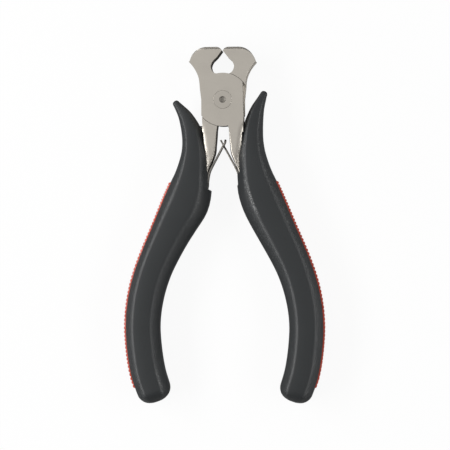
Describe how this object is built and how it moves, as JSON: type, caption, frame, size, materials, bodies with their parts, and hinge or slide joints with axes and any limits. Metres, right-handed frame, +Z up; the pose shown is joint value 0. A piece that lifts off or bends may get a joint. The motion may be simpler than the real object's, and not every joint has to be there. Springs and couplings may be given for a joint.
{
  "type": "end cutting nippers",
  "caption": "Small end cutting nippers with a flush riveted lap joint, crossed leaf springs and curved two-component grips with pinch guards.",
  "frame": {"origin": "middle of the footprint of the tool lying on its back, on the flat backs of the grips", "axes": "+X right, +Y towards the jaws, +Z up out of the front of the tool"},
  "size_m": [0.0646, 0.1142, 0.0116],
  "materials": {
    "steel": "satin ground",
    "rivet_steel": "satin ground",
    "spring_steel": "hardened, dark",
    "grip_core": "moulded, ribbed",
    "grip_cover": "soft moulded"
  },
  "bodies": {
    "front_half": {"front_lever": "steel", "pivot_rivet": "rivet_steel", "right_spring_foot": "spring_steel", "right_spring_rivet": "rivet_steel", "right_grip_core": "grip_core", "right_grip_cover": "grip_cover"},
    "rear_half": {"rear_lever": "steel", "left_spring_foot": "spring_steel", "left_spring_rivet": "rivet_steel", "left_grip_core": "grip_core", "left_grip_cover": "grip_cover"},
    "left_leaf": {"left_spring_leaf": "spring_steel"},
    "right_leaf": {"right_spring_leaf": "spring_steel"}
  },
  "joints": [
    {"name": "jaw_pivot", "type": "hinge", "parent": "front_half", "child": "rear_half", "pos_m": [0, 0.04027, 0.0058], "axis": [0, 0, -1], "range_deg": [-0.8, 20], "stiffness_Nm_per_rad": 0.3},
    {"name": "left_spring_flex", "type": "hinge", "parent": "rear_half", "child": "left_leaf", "pos_m": [-0.00461, 0.01706, 0.0058], "axis": [0, 0, -1], "range_deg": [-0.7, 15.2]},
    {"name": "right_spring_flex", "type": "hinge", "parent": "front_half", "child": "right_leaf", "pos_m": [0.00461, 0.01706, 0.0058], "axis": [0, 0, 1], "range_deg": [-0.7, 15.2]}
  ],
  "couplings": [
    {"joint": "left_spring_flex", "follows": "jaw_pivot", "ratio": 0.75},
    {"joint": "right_spring_flex", "follows": "jaw_pivot", "ratio": 0.75}
  ]
}
